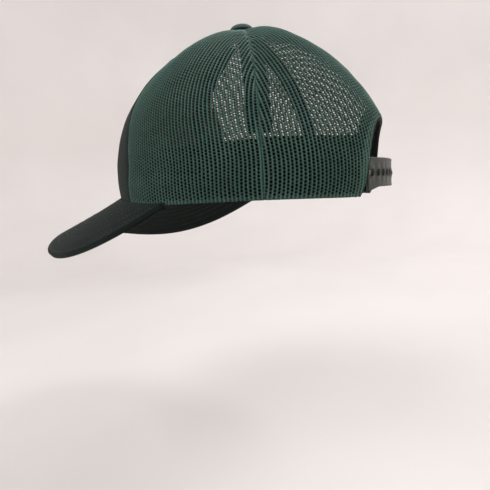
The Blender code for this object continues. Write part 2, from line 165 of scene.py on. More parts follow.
def ripple(p, wavelength, seed):
    """Smooth noise from a few plane waves, mostly between -1 and 1."""
    rng = np.random.default_rng(seed)
    total = 0.0
    for _ in range(6):
        d = rng.normal(size=3)
        k = 2 * np.pi / (wavelength * rng.uniform(0.75, 1.35) * np.linalg.norm(d))
        total = total + np.sin(p @ (d * k) + rng.uniform(0, 2 * np.pi))
    return total / 3.0


def seam_distance(theta, t):
    """Millimetres to the nearest seam, round the crown."""
    _, a = across_panel(theta, t)
    gap = np.minimum(np.abs(a - front_seam(t)), np.abs(a - SIDE_SEAM))
    low = np.where(base(theta, t)[..., 2] < ARCH_TOP, 90.0, 180 - a)
    return np.radians(np.minimum(gap, low)) * radius_at(theta, t)


def relief(theta, t):
    """How far the sewn crown stands off its plain shape: puffed panels, dents and puckers."""
    across, a = across_panel(theta, t)
    p = base(theta, t)
    swell = np.sin(np.pi * across) ** 2
    out = PANEL_PUFF * 6.75 * t * t * (1 - t) * swell
    r = np.hypot(p[..., 0], p[..., 1] - APEX_BACK)
    shoulder = smooth(5.0, 15.0, r) * (1 - smooth(20.0, 52.0, r))
    amount = np.where(a > SIDE_SEAM, 0.4, 0.2)
    out = out + amount * shoulder * swell
    calm = smooth(0.04, 0.2, t) * (1 - smooth(0.9, 0.97, t))
    out = out + 0.3 * calm * ripple(p, 46.0, 3) + 0.15 * calm * ripple(p, 19.0, 8)
    near = seam_distance(theta, t)
    pucker = 0.30 * ripple(p, 8.5, 21) * np.exp(-near / 6.0) * (0.35 + smooth(0.45, 0.8, t))
    dip = 0.45 * np.exp(-((near / 1.5) ** 2))
    return out + calm * (pucker - dip)


def crown(theta, t, depth=0.0):
    lift = relief(theta, t) - depth
    return base(theta, t) + normal(theta, t) * np.asarray(lift)[..., None]


def bisect(rises, low, high, rounds=34):
    """Where a rising function crosses zero, for arrays of brackets."""
    low, high = np.array(low, float), np.array(high, float)
    for _ in range(rounds):
        mid = 0.5 * (low + high)
        below = rises(mid) < 0
        low, high = np.where(below, mid, low), np.where(below, high, mid)
    return 0.5 * (low + high)


def t_at_radius(theta, radius):
    theta = np.asarray(theta, float)

    def inward(t):
        p = base(theta, t)
        return radius - np.hypot(p[..., 0], p[..., 1] - APEX_BACK)

    return bisect(inward, np.full(theta.shape, 0.5), np.ones(theta.shape))


def t_at_height(theta, z):
    theta, z = np.broadcast_arrays(np.asarray(theta, float), np.asarray(z, float))
    return bisect(lambda t: base(theta, t)[..., 2] - z, np.zeros(z.shape), np.full(z.shape, 0.8))


def gap_angle(theta, t):
    return np.degrees(SEAM_GAP / radius_at(theta, t))


def arch_half(z):
    inside = np.maximum(1 - (np.maximum(z, 0) / ARCH_TOP) ** ARCH_POWER, 0)
    return ARCH_HALF * inside ** (1 / ARCH_POWER)


def rear_edge(t):
    """The bearing where a rear panel ends."""
    t = np.asarray(t, float)
    seam = 180 - gap_angle(180.0, t)

    def past(theta):
        p = base(theta, t)
        return arch_half(p[..., 2]) - p[..., 0]

    at_arch = bisect(past, np.full(t.shape, 125.0), np.full(t.shape, 180.0))
    return np.where(past(seam) < 0, seam, np.minimum(at_arch, seam))


def rear_place(x, z):
    """The bearing and t of the rear crown's points at these x and heights."""
    x, z = np.broadcast_arrays(np.asarray(x, float), np.asarray(z, float))
    theta = np.full(x.shape, 165.0)
    low, high = np.full(x.shape, 112.0), np.full(x.shape, 248.0)
    for _ in range(10):
        t = t_at_height(theta, z)
        theta = bisect(lambda a, t=t: x - base(a, t)[..., 0], low, high)
    return theta, t


# ---------------------------------------------------------------- mesh making


def mesh_piece(name, verts, faces, flat=None):
    """A smooth-shaded mesh from millimetres, with its cloth coordinates as an attribute."""
    verts = np.asarray(verts, float).reshape(-1, 3)
    mesh = bpy.data.meshes.new(name)
    mesh.from_pydata((verts * MM).tolist(), [], faces)
    mesh.polygons.foreach_set("use_smooth", [True] * len(mesh.polygons))
    if flat is not None:
        layer = mesh.attributes.new("flat", "FLOAT_VECTOR", "POINT")
        values = np.zeros((len(verts), 3), np.float32)
        values[:, :2] = np.asarray(flat, float).reshape(-1, 2)
        layer.data.foreach_set("vector", values.ravel())
    mesh.validate()
    mesh.update()
    piece = bpy.data.objects.new(name, mesh)
    bpy.context.scene.collection.objects.link(piece)
    return piece


def lengths(points, axis):
    """Distance along one axis of a grid of points, from its middle."""
    steps = np.linalg.norm(np.diff(points, axis=axis), axis=-1)
    total = np.cumsum(steps, axis=axis)
    pad = [(0, 0), (0, 0)]
    pad[axis] = (1, 0)
    total = np.pad(total, pad)
    middle = np.take(total, [total.shape[axis] // 2], axis=axis)
    return total - middle


def shell(name, outer, inner, closed=False):
    """A closed sheet between two grids of points. closed joins the last row to the first."""
    rows, cols = outer.shape[:2]
    verts = np.concatenate([outer.reshape(-1, 3), inner.reshape(-1, 3)])
    index = np.arange(rows * cols).reshape(rows, cols)
    if closed:
        index = np.vstack([index, index[:1]])
    a, b = index[:-1, :-1].ravel(), index[:-1, 1:].ravel()
    c, d = index[1:, 1:].ravel(), index[1:, :-1].ravel()
    far = rows * cols
    front = np.stack([a, b, c, d], 1)
    back = np.stack([d, c, b, a], 1) + far
    faces = front.tolist() + back.tolist()
    sides = [(index[:, -1], index[:, 0])]
    if closed:
        loops = [index[:, 0], index[::-1, -1]]
    else:
        right, left = sides[0]
        loops = [
            np.concatenate([index[0], right[1:], index[-1, -2::-1], left[-2::-1]])
        ]
    for loop in loops:
        for p, q in zip(loop[:-1].tolist(), loop[1:].tolist(), strict=True):
            faces.append([q, p, p + far, q + far])
    flat = np.stack([lengths(outer, 1), lengths(outer, 0)], -1).reshape(-1, 2)
    return mesh_piece(name, verts, faces, np.concatenate([flat, flat]))


def rounded(outer, inner, amount=0.3):
    """Draws the border of a sheet's two faces together, for a rounded edge."""
    w = np.zeros(outer.shape[:2] + (1,))
    w[[0, -1]] = amount
    w[:, [0, -1]] = amount
    return outer + (inner - outer) * w, inner + (outer - inner) * w


def crown_sheet(name, theta, t, depth_out, depth_in):
    outer = crown(theta, t, depth_out)
    inner = crown(theta, t, depth_in)
    return shell(name, *rounded(outer, inner))


def spaced(count, edge=0.006):
    """Shares from 0 to 1, with a station close to each end."""
    inside = np.linspace(0, 1, count + 1)[1:-1]
    return np.concatenate([[0, edge], inside, [1 - edge, 1]])


def unit(v):
    return v / np.maximum(np.linalg.norm(v, axis=-1, keepdims=True), 1e-9)


def stitch_row(path, up, pitch=3.0, length=2.2, radius=0.24):
    """Vertices and faces of a row of stitches along a path, lying on the side of up."""
    along = np.concatenate([[0], np.cumsum(np.linalg.norm(np.diff(path, axis=0), axis=1))])
    middles = np.arange(pitch * 0.7, along[-1] - pitch * 0.5, pitch)
    if len(middles) == 0:
        return np.zeros((0, 3)), np.zeros((0, 4), int)

    def at(s):
        return np.stack([np.interp(s, along, path[:, k]) for k in range(3)], -1)

    def up_at(s):
        return unit(np.stack([np.interp(s, along, up[:, k]) for k in range(3)], -1))

    stations = np.array([-1.0, -0.72, -0.25, 0.25, 0.72, 1.0])
    thick = np.array([0.25, 0.8, 1.0, 1.0, 0.8, 0.25]) * radius
    rise = np.array([-0.5, 0.35, 0.75, 0.75, 0.35, -0.5]) * radius
    sides = 6
    angle = np.arange(sides) * 2 * np.pi / sides
    blocks = []
    for f, r, h in zip(stations, thick, rise, strict=True):
        centre, u = at(middles + f * length / 2), up_at(middles)
        ahead = unit(at(middles + 0.3) - at(middles - 0.3))
        side = unit(np.cross(ahead, u))
        ring = centre[:, None] + u[:, None] * (h + r * np.sin(angle))[None, :, None]
        blocks.append(ring + side[:, None] * (r * np.cos(angle))[None, :, None])
    verts = np.stack(blocks, 1)
    count = len(stations) * sides
    first = (np.arange(len(middles)) * count)[:, None]
    quads = []
    for k in range(len(stations) - 1):
        for n in range(sides):
            m = (n + 1) % sides
            quads.append([k * sides + n, k * sides + m, (k + 1) * sides + m, (k + 1) * sides + n])
    faces = (first[:, None] + np.array(quads)[None]).reshape(-1, 4)
    return verts.reshape(-1, 3), faces


def stitches(name, rows, **sizes):
    """One piece from several stitch rows, each a path and its up directions."""
    verts, faces, start = [], [], 0
    for path, up in rows:
        v, f = stitch_row(path, up, **sizes)
        verts.append(v)
        faces += (f + start).tolist()
        start += len(v)
    return mesh_piece(name, np.concatenate(verts), faces)


def crown_path(theta, t, depth):
    """A path on the crown and its outward directions."""
    return crown(theta, t, depth), normal(theta, t)


# ---------------------------------------------------------------- the net panels


def flat_map(centre_at, t_top):
    """A panel's flat cloth: distance from its centre line and height along it, to bearing and t."""
    ts = np.linspace(0, t_top, 160)
    middle = centre_at(ts)
    line = base(middle, ts)
    heights = np.concatenate([[0], np.cumsum(np.linalg.norm(np.diff(line, axis=0), axis=1))])
    swing = np.linspace(-72, 72, 241)
    bearing = middle[:, None] + swing
    arcs = base(bearing, ts[:, None])
    arc = lengths(arcs, 1)
    across = np.arange(-90, 91, 1.0)
    table = np.stack([np.interp(across, arc[k], bearing[k]) for k in range(len(ts))])

    def locate(s, high):
        t = np.interp(high, heights, ts)
        row = np.clip(t / t_top * (len(ts) - 1), 0, len(ts) - 1.001)
        col = np.clip(s - across[0], 0, len(across) - 1.001)
        r, c = row.astype(int), col.astype(int)
        fr, fc = row - r, col - c
        low = table[r, c] * (1 - fc) + table[r, c + 1] * fc
        top = table[r + 1, c] * (1 - fc) + table[r + 1, c + 1] * fc
        return low * (1 - fr) + top * fr, t

    return locate, heights[-1]


def net_panel(name, sign, centre_at, bounds_at, seed):
    """A panel of knitted net. bounds_at(t) gives its two edges as bearings, on the left side."""
    t_top = float(t_at_radius(centre_at(0.9), CROWN_HOLE))
    locate, height = flat_map(centre_at, t_top)

    columns = np.arange(-32, 33)
    rows = np.arange(-1, int(height / NET_STEP) + 2)
    i, j = (g.ravel() for g in np.meshgrid(columns, rows, indexing="ij"))
    yc = 2 * j + (i % 2)
    theta, t = locate(i * NET_PITCH, yc * NET_STEP / 2)
    low, high = bounds_at(t)
    r = radius_at(theta, t)
    from_front = np.radians(theta - low) * r
    from_rear = np.radians(high - theta) * r
    tall = yc * NET_STEP / 2
    more = CELL_REACH_TOP - CELL_REACH
    reach = (CELL_REACH + more * smooth(0.72, 0.86, t)) * NET_PITCH
    keep = (from_front > -reach) & (from_rear > -reach) & (tall > -0.9) & (tall < height - 0.3)
    i, j, yc = i[keep], j[keep], yc[keep]
    from_front, from_rear, tall, theta = (
        from_front[keep], from_rear[keep], tall[keep], theta[keep],
    )
    edge = np.minimum(from_front, from_rear)
    open_share = smooth(0.3, 1.5, edge) * smooth(1.2, 3.0, tall)
    open_share = open_share * smooth(4.0, 11.0, height - tall)
    at_arch = (tall < 56) & (theta > 125)
    hem = smooth(4.4, 6.6, from_rear)
    open_share = np.where(at_arch, open_share * (0.12 + 0.88 * hem), open_share)
    open_share = np.maximum(open_share, 0.14)

    corners = [(-1, -1), (0, -1), (1, -1), (1, 0), (1, 1), (0, 1), (-1, 1), (-1, 0)]
    keys = np.stack([[2 * i + dx, yc + dy] for dx, dy in corners], 0)
    keys = keys.transpose(2, 0, 1).reshape(-1, 2)
    lattice, ring = np.unique(keys, axis=0, return_inverse=True)
    ring = ring.reshape(-1, 8)
    x, y = lattice[:, 0] * NET_PITCH / 2, lattice[:, 1] * NET_STEP / 2
    on_rib = lattice[:, 0] % 2 == 1
    left_column = (lattice[:, 0] - 1) // 2
    push = np.where((lattice[:, 1] - left_column) % 2 == 0, 1.0, -1.0)
    x = x + np.where(on_rib, 0.1 * push, 0.0)

    rng = np.random.default_rng(seed)
    angle = np.arctan2([dy * 0.8 for _, dy in corners], [dx for dx, _ in corners])
    size = rng.normal(1.0, 0.07, (len(i), 1)) * open_share[:, None]
    hole_x = (i * NET_PITCH)[:, None] + NET_HOLE[0] * size * np.cos(angle)
    hole_y = (yc * NET_STEP / 2)[:, None] + NET_HOLE[1] * size * np.sin(angle)

    flat_x = np.concatenate([x, hole_x.ravel()])
    flat_y = np.concatenate([y, hole_y.ravel()])
    lattice_count = len(x)
    soft = np.stack([flat_x, flat_y, np.zeros_like(flat_x)], -1)
    theta, t = locate(flat_x, flat_y)
    low, high = bounds_at(t)
    past_front, past_rear = theta < low, theta > high
    near = np.exp(-seam_distance(theta, t) / 9.0)
    stray = 0.16 + 0.55 * near * smooth(0.35, 0.8, t)
    moved_x = flat_x + stray * ripple(soft, 17.0, seed + 1)
    moved_y = flat_y + (stray + 0.15) * ripple(soft, 14.0, seed + 2)
    theta, t = locate(moved_x, np.clip(moved_y, 0.03 * np.minimum(moved_y, 0) + 0.03, height))
    low, high = bounds_at(t)
    r = radius_at(theta, t)
    edge = np.radians(np.minimum(theta - low, high - theta)) * r
    theta = np.where(past_front, np.minimum(theta, low), theta)
    theta = np.where(past_rear, np.maximum(theta, high), theta)
    past = theta - np.clip(theta, low, high)
    theta = theta - 0.97 * past
    t = np.minimum(t, t_at_radius(theta, CROWN_HOLE))

    tuck = 0.2 * (1 - smooth(0.0, 0.8, edge))
    rib = np.concatenate([on_rib, np.zeros(len(flat_x) - lattice_count, bool)])
    hole = np.arange(len(flat_x)) >= lattice_count
    front_depth = np.where(rib, RIB_DEPTHS[0], WEB_DEPTHS[0]) + tuck
    back_depth = np.where(rib, RIB_DEPTHS[1], WEB_DEPTHS[1]) - tuck
    front_depth = np.where(hole, HOLE_WAIST, front_depth)
    front = crown(theta, t, front_depth)
    back = crown(theta[:lattice_count], t[:lattice_count], back_depth[:lattice_count])
    verts = np.concatenate([front, back])
    verts[:, 0] *= sign

    hole_ring = lattice_count + np.arange(len(i) * 8).reshape(-1, 8)
    behind = ring + len(flat_x)
    nxt = np.roll(np.arange(8), -1)
    quads = np.stack([ring, ring[:, nxt], hole_ring[:, nxt], hole_ring], -1).reshape(-1, 4)
    backs = np.stack([hole_ring, hole_ring[:, nxt], behind[:, nxt], behind], -1).reshape(-1, 4)
    edges = np.stack([ring, ring[:, nxt]], -1).reshape(-1, 2)
    known = set(map(tuple, edges.tolist()))
    border = [(a, b) for a, b in known if (b, a) not in known]
    shift = len(flat_x)
    walls = [[b, a, a + shift, b + shift] for a, b in sorted(border)]
    faces = quads.tolist() + backs.tolist() + walls
    if sign < 0:
        faces = [face[::-1] for face in faces]
    flat = np.stack([flat_x, flat_y], -1)
    piece = mesh_piece(name, verts, faces, np.concatenate([flat, flat[:lattice_count]]))
    # A level for each vertex: 1 on ribs, 0.55 on the web, 0 at holes. The net material turns it into
    # painted shade at the holes and a painted highlight on the ribs.
    rise = piece.data.attributes.new("rise", "FLOAT", "POINT")
    level = np.where(rib, 1.0, np.where(hole, 0.0, 0.55))
    rise.data.foreach_set("value", np.concatenate([level, level[:lattice_count]]).astype(np.float32))
    return piece


def side_bounds(t):
    return front_seam(t) + 0.1 * gap_angle(70.0, t), SIDE_SEAM - 0.1 * gap_angle(SIDE_SEAM, t)


REAR_TABLE = np.linspace(0, 1, 400)
REAR_EDGES = rear_edge(REAR_TABLE)


def rear_bounds(t):
    return SIDE_SEAM + 0.1 * gap_angle(SIDE_SEAM, t), np.interp(t, REAR_TABLE, REAR_EDGES)


def make_nets():
    made = []
    for side, sign in (("left", 1), ("right", -1)):
        piece = net_panel(
            f"net_side_{side}", sign, lambda t: 0.5 * (front_seam(t) + SIDE_SEAM),
            side_bounds, 30 + sign,
        )
        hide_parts(f"side_panel_{side}")
        made.append(piece)
        piece = net_panel(
            f"net_rear_{side}", sign, lambda t: np.full(np.shape(t), 146.0),
            rear_bounds, 60 + sign,
        )
        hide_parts(f"rear_panel_{side}")
        made.append(piece)
    for piece in made:
        dress(piece, NET)


# ---------------------------------------------------------------- front panel and linings


def foam_edge(t):
    wider = FOAM_WIDER * (1 - smooth(*FOAM_WIDER_ENDS, t))
    corner = FOAM_CORNER * (1 - smooth(*FOAM_CORNER_ENDS, t))
    return FOAM_EDGE_HIGH + wider + corner


def make_front():
    """The front cloth, and the padding behind it."""
    u = 2 * spaced(70, 0.004) - 1
    v = spaced(76, 0.004)[:, None]
    t = v * t_at_radius(0.0, CROWN_HOLE)
    edge = front_seam(t)
    theta = u * (edge - gap_angle(edge, t))
    t = v * t_at_radius(theta, CROWN_HOLE)
    tuck = 0.3 * (1 - smooth(0.0, 1.6, np.radians(edge - np.abs(theta)) * radius_at(theta, t)))
    panel = crown_sheet("front_cloth", theta, t, -0.05 + tuck, 0.8)
    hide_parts("front_panel")
    dress(panel, FRONT)

    u = 2 * spaced(80, 0.006) - 1
    v = spaced(84, 0.006)[:, None]
    theta = u * foam_edge(v * t_at_radius(0.0, FOAM_TOP_RADIUS))
    t = 0.01 + v * (t_at_radius(theta, FOAM_TOP_RADIUS) - 0.01)
    skin = np.abs(0.16 * ripple(base(theta, t), 6.0, 5))
    outer, inner = FOAM_DEPTHS
    pad = crown_sheet("front_padding", theta, t, outer + 0.1 * skin, inner - skin)
    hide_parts("front_foam")
    dress(pad, FOAM)


def tape(name, bearing, depths, low_z, nodes):
    """A seam tape with its two stitch rows. bearing(t) is the seam it covers."""
    a = abs(float(bearing(0.28)))
    low = float(t_at_height(min(a + 6.0, 180.0), low_z))
    high = float(t_at_radius(a, TAPE_TOP_RADIUS))
    t = low + spaced(90, 0.004)[:, None] * (high - low)
    u = 2 * spaced(10, 0.03) - 1
    middle = bearing(t)
    theta = middle + np.degrees(u * TAPE_HALF / radius_at(middle, t))
    crest = 0.16 * (1 - u**2) + 0.05 * ripple(base(theta, t), 7.0, 12)
    outer, inner = depths
    band = crown_sheet(name, theta, t + 0 * u, outer + 0 * crest, inner + crest)
    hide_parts(*nodes)
    dress(band, TAPE)
    rows = []
    line = np.linspace(low + 0.01, high - 0.01, 160)
    for side in (-1, 1):
        seam = bearing(line)
        row = seam + side * np.degrees(TAPE_STITCH / radius_at(seam, line))
        path, up = crown_path(row, line, inner + 0.08)
        rows.append((path, -up))
    sewn = stitches(f"{name}_stitches", rows, pitch=2.7, length=1.9, radius=0.22)
    dress(sewn, DARK_THREAD)


def make_tapes():
    """A tape over each seam: two beside the front panel, two at the sides, one at the rear."""
    for side, sign in (("left", 1), ("right", -1)):
        tape(
            f"front_tape_{side}", lambda t, sign=sign: sign * front_seam(t), FRONT_TAPE_DEPTHS,
            TAPE_LOW, [f"seam_tape_front_{side}"],
        )
        tape(
            f"side_tape_{side}", lambda t, sign=sign: sign * SIDE_SEAM + 0 * t, TAPE_DEPTHS,
            TAPE_LOW, [f"seam_tape_side_{side}"],
        )
    above_arch = ARCH_TOP + 9.0
    tape("rear_tape", lambda t: 180.0 + 0 * t, TAPE_DEPTHS, above_arch, ["seam_tape_rear"])


def band_depth(theta):
    """The band lies deeper behind the foam at the front and behind the binding at the rear."""
    a = np.abs(theta)
    return 1.45 + 2.95 * (1 - smooth(66.0, 80.0, a)) + 1.45 * smooth(128.0, 138.0, a)


def make_sweatband():
    theta = (2 * spaced(300, 0.0015) - 1) * BAND_END
    v = spaced(26, 0.012)[:, None]
    t = 0.003 + v * (t_at_height(theta, BAND_HEIGHT) - 0.003)
    theta = theta + 0 * v
    depth = band_depth(theta)
    p = base(theta, t)
    sag = 0.12 * ripple(p, 24.0, 41) * np.sin(np.pi * v)
    groove = 0.16 * sum(np.exp(-(((v - row) / 0.02) ** 2)) for row in BAND_ROWS)
    band = crown_sheet("sweatband_cloth", theta, t, depth, depth + BAND_THICK + sag - groove)
    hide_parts("sweatband")
    dress(band, BAND)
    rows = []
    line = np.linspace(1.0 - BAND_END, BAND_END - 1.0, 900)
    for share in BAND_ROWS:
        high = 0.01 + share * (t_at_height(line, BAND_HEIGHT) - 0.01)
        path, up = crown_path(line, high, band_depth(line) + 1.22)
        rows.append((path, -up))
    sewn = stitches("sweatband_stitches", rows, pitch=3.2, length=2.3, radius=0.22)
    dress(sewn, DARK_THREAD)


def arch_path(offset, count, foot_z):
    """Points along the arch, offset outwards, as x and height."""
    foot = math.asin((foot_z / ARCH_TOP) ** (ARCH_POWER / 2))

    def at(a):
        c, s = np.cos(a), np.sin(a)
        power = 2 / ARCH_POWER
        x = np.sign(c) * ARCH_HALF * np.abs(c) ** power
        return np.stack([x, ARCH_TOP * np.maximum(s, 0) ** power], -1)

    a = foot + (np.pi - 2 * foot) * np.arange(count + 1) / count
    along = unit(at(a + 0.01) - at(a - 0.01))
    return at(a) + np.asarray(offset)[:, None, None] * np.stack([along[:, 1], -along[:, 0]], -1)


def make_binding():
    """The tape that wraps the edge of the rear opening's arch."""
    widths = np.array([-1.2, -1.1, -0.6, 0.6, 3.2, 5.6, 7.9, 8.0])
    grid = arch_path(widths, 110, 23.5)
    theta, t = rear_place(grid[..., 0], grid[..., 1])
    lip = 1 - smooth(-0.9, 0.4, widths)[:, None]
    wave = 0.06 * ripple(base(theta, t), 9.0, 33)
    outer, inner = BINDING_DEPTHS
    binding = crown_sheet("opening_tape", theta, t, outer - 0.9 * lip, inner + wave)
    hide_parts("opening_binding")
    dress(binding, BLACK_TAPE)
    rows = []
    for width in BINDING_ROWS:
        line = arch_path(np.array([width]), 200, 24.5)[0]
        theta, t = rear_place(line[:, 0], line[:, 1])
        path, up = crown_path(theta, t, inner)
        rows.append((path, -up))
        if width == BINDING_ROWS[0]:
            path, up = crown_path(theta, t, -0.1)
            rows.append((path, up))
    sewn = stitches("opening_stitches", rows, pitch=2.6, length=1.8, radius=0.2)
    dress(sewn, DARK_THREAD)


# ---------------------------------------------------------------- visor


def visor_edge(u):
    """The visor's free edge, from u of -1 at the right end to 1 at the left."""
    k = np.abs(u)[:, None]
    end = base(VISOR_END, 0.0)
    out = np.array([end[0], end[1], 0.0])
    last = end + unit(out) * VISOR_END_REACH - np.array([0, 0, VISOR_DROP])
    points = [np.array(p) for p in VISOR_POINTS] + [last]
    weights = ((1 - k) ** 3, 3 * k * (1 - k) ** 2, 3 * k * k * (1 - k), k**3)
    p = sum(q * w for q, w in zip(points, weights, strict=True))
    p[:, 0] *= np.sign(u)
    return p


def visor_root(u):
    """Where the visor is sewn to the rim, at the same u."""
    p = base(VISOR_END * u, 0.0)
    out = p * [1, 1, 0]
    return p + unit(out) - np.array([0, 0, VISOR_DROP])


def visor_frame(u):
    """Each rib's root, direction, way up and length, and how square it meets the edge."""
    root, edge = visor_root(u), visor_edge(u)
    a, b = np.maximum(u - 0.01, -1), np.minimum(u + 0.01, 1)
    middle = (visor_root(b) + visor_edge(b) - visor_root(a) - visor_edge(a)) / 2
    along = edge - root
    up = unit(np.cross(middle, along))
    up = up * np.where(up[:, 2:] < 0, -1, 1)
    rim = unit(visor_edge(b) - visor_edge(a))
    square = np.linalg.norm(np.cross(rim, unit(along)), axis=-1)
    return root, unit(along), up, np.linalg.norm(along, axis=-1), square


# Stitch rows, in from the visor's edge, and how far its cloths reach in under the crown
STITCH_ROWS = (3.2, 11.0, 19.0, 27.0, 35.0, 43.0)
GROOVE_HALF = 0.9
VISOR_TUCK = 1.0
# Levels above the visor's middle: the cover's two faces, the foot of its lip, and the lining's
COVER_TOP, COVER_BACK, COVER_LIP = 1.85, 1.1, -1.1
LINING_FACE, LINING_BACK = -2.2, -1.45
# The cover's rounded edge, and the lip's thickness
COVER_ROUND, LIP_THICK = 1.3, 0.75


def grooves(inset):
    """How deep the stitching draws the cloth in, from 0 to 1, by distance from the edge."""
    return sum(np.exp(-(((inset - row) / GROOVE_HALF) ** 2)) for row in STITCH_ROWS)


def make_visor():
    """The cover with its lip round the edge, the lining, and the stitches on both."""
    u = np.linspace(-1, 1, 241)
    root, along, up, length, square = visor_frame(u)
    flat_end = length[:, None] - COVER_ROUND
    share = np.concatenate([[0, 0.002], np.linspace(0.004, 1, 190)])
    d = share * (flat_end + VISOR_TUCK) - VISOR_TUCK
    inset = (length[:, None] - d) * square[:, None]
    groove = grooves(inset)
    ripples = 0.1 * ripple(root[:, None] + along[:, None] * d[..., None], 30.0, 71)
    calm = smooth(0.0, 8.0, inset) * smooth(0.0, 10.0, d)
    top = COVER_TOP - 0.26 * groove * smooth(1.0, 5.0, d) + ripples * calm
    bend = np.linspace(0.12, 1, 8) * np.pi / 2
    edge_d = flat_end + COVER_ROUND * np.sin(bend)
    edge_n = COVER_TOP - COVER_ROUND * (1 - np.cos(bend)) + 0 * edge_d
    lip_d = length[:, None] + 0 * np.ones(3)
    lip_n = np.array([0.2, -0.4, COVER_LIP]) + 0 * lip_d
    out_d = np.hstack([d, edge_d, lip_d])
    out_n = np.hstack([top, edge_n, lip_n])
    in_d = np.hstack([d * 0.995, edge_d - LIP_THICK * np.sin(bend), lip_d - LIP_THICK])
    back_n = COVER_BACK - 0.5 * (1 - np.cos(bend)) + 0 * edge_d
    in_n = np.hstack([np.full(d.shape, COVER_BACK), back_n, lip_n])

    def points(dist, n):
        return root[:, None] + along[:, None] * dist[..., None] + up[:, None] * n[..., None]

    top_cloth = shell("visor_cover", points(out_d, out_n), points(in_d, in_n))
    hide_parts("visor_top_fabric")
    dress(top_cloth, VISOR)

    d = spaced(90, 0.008) * (length[:, None] + VISOR_TUCK) - VISOR_TUCK
    inset = (length[:, None] - d) * square[:, None]
    low = LINING_FACE + 0.2 * grooves(inset) * smooth(1.0, 5.0, d)
    low = low + 0.35 * (1 - smooth(0.0, 1.0, inset))
    under = shell("visor_lining", points(d, low), points(d, np.full(d.shape, LINING_BACK)))
    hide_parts("visor_under_fabric")
    dress(under, UNDER)

    over, below = [], []
    fine = np.linspace(-1, 1, 1201)
    root, along, up, length, square = visor_frame(fine)
    for inset in STITCH_ROWS:
        d = length - inset / np.maximum(square, 0.2)
        sewn = d > 3.0
        path = (root + along * d[:, None])[sewn]
        over.append((path + up[sewn] * 1.68, up[sewn]))
        below.append((path - up[sewn] * 2.08, -up[sewn]))
    row = stitches("visor_stitches", over, pitch=3.1, length=2.3, radius=0.27)
    dress(row, VISOR_THREAD)
    row = stitches("visor_under_stitches", below, pitch=3.1, length=2.3, radius=0.27)
    dress(row, UNDER_THREAD)


# ---------------------------------------------------------------- closure


def strap_outline(length, inset):
    """The strap laid flat, drawn in by inset. x runs from its root, y is height."""
    middle = length - STRAP_CORNER
    back = 1.1 * (ARCH_HALF - arch_half(np.array([STRAP_TOP, 17.0, 13.0, 7.0])))
    radius = STRAP_CORNER - inset
    xs = np.linspace(back[0] + 1.0, middle, 46)
    top = np.stack([xs, np.full(len(xs), STRAP_TOP - inset)], -1)
    top = np.vstack([[back[0] + inset, STRAP_TOP - inset], top])
    a = np.linspace(np.pi / 2, 0, 12)[1:]
    high = [middle, STRAP_TOP - STRAP_CORNER] + radius * np.stack([np.cos(a), np.sin(a)], -1)
    a = np.linspace(0, -np.pi / 2, 12)
    low = [middle, STRAP_FOOT_FREE + STRAP_CORNER] + radius * np.stack([np.cos(a), np.sin(a)], -1)
    xs = np.linspace(middle, 1.0, 46)[1:]
    foot_z = STRAP_FOOT_ROOT + (STRAP_FOOT_FREE - STRAP_FOOT_ROOT) * smooth(0, STRAP_FLARE, xs)
    foot = np.stack([xs, foot_z + inset], -1)
    foot = np.vstack([foot, [inset, STRAP_FOOT_ROOT + inset]])
    root = np.stack([back[:0:-1] + inset, [7.0, 13.0, 17.0]], -1)
    return np.vstack([top, high, low, foot, root])


def circle(x, radius, sides=24):
    a = np.arange(sides) * 2 * np.pi / sides
    return np.stack([x + radius * np.cos(a), HOLE_Z + radius * np.sin(a)], -1)


def strap(name, side, outer, length, holes, pegs):
    """A moulded strap with a raised border and raised hole rims, and pegs on its outer face."""
    root = math.asin(STRAP_ROOT / STRAP_RADIUS)
    border = ((0.0, -0.32), (0.22, -0.06), (0.5, 0.1), (1.0, 0.1), (1.35, STRAP_FACE))
    rim = ((0.0, -0.3), (0.18, -0.02), (0.45, 0.08), (0.8, 0.06), (1.0, STRAP_FACE))
    loops = [(strap_outline(length, inset), level) for inset, level in border]
    for x in holes:
        loops += [(circle(x, HOLE_RADIUS + out), level) for out, level in rim]
    flat, edges, levels = [], [], []
    for loop, level in loops:
        first = len(flat)
        flat += [Vector(p) for p in loop.tolist()]
        levels += [level] * len(loop)
        edges += [(first + k, first + (k + 1) % len(loop)) for k in range(len(loop))]
    points, _, tris, origin, *_ = delaunay_2d_cdt(flat, edges, [], 1, 1e-6)
    level = np.array([levels[o[0]] if o else STRAP_FACE for o in origin])
    xy = np.array([tuple(p) for p in points])

    def on_cylinder(x, z, r):
        a = side * (root - np.asarray(x) / STRAP_RADIUS)
        return np.stack([r * np.sin(a), STRAP_CENTRE_Y + r * np.cos(a), z + 0 * a], -1)

    inner = outer - STRAP_THICK
    shrink = np.where(level < -0.25, 0.28, 0.0)
    verts = [
        on_cylinder(xy[:, 0], xy[:, 1], outer + level),
        on_cylinder(xy[:, 0], xy[:, 1], inner + shrink),
    ]
    count = len(xy)
    faces, known = [], set()
    for tri in tris:
        middle = xy[list(tri)].mean(0)
        if any(math.hypot(middle[0] - x, middle[1] - HOLE_Z) < HOLE_RADIUS for x in holes):
            continue
        faces.append(list(tri))
        faces.append([count + k for k in reversed(tri)])
        known.update(zip(tri, list(tri[1:]) + [tri[0]], strict=True))
    for a, b in sorted(known):
        if (b, a) not in known:
            faces.append([b, a, count + a, count + b])
    start = 2 * count
    for x in pegs:
        for radius, rise in PEG_PROFILE:
            ring = circle(x, radius, PEG_SIDES)
            verts.append(on_cylinder(ring[:, 0], ring[:, 1], outer + STRAP_FACE + rise))
        for k in range(len(PEG_PROFILE) - 1):
            for n in range(PEG_SIDES):
                m = (n + 1) % PEG_SIDES
                a, b = start + k * PEG_SIDES, start + (k + 1) * PEG_SIDES
                faces.append([a + n, a + m, b + m, b + n])
        start += PEG_SIDES * len(PEG_PROFILE)
    verts = np.concatenate(verts)
    if side > 0:
        faces = [face[::-1] for face in faces]
    return mesh_piece(name, verts, faces)


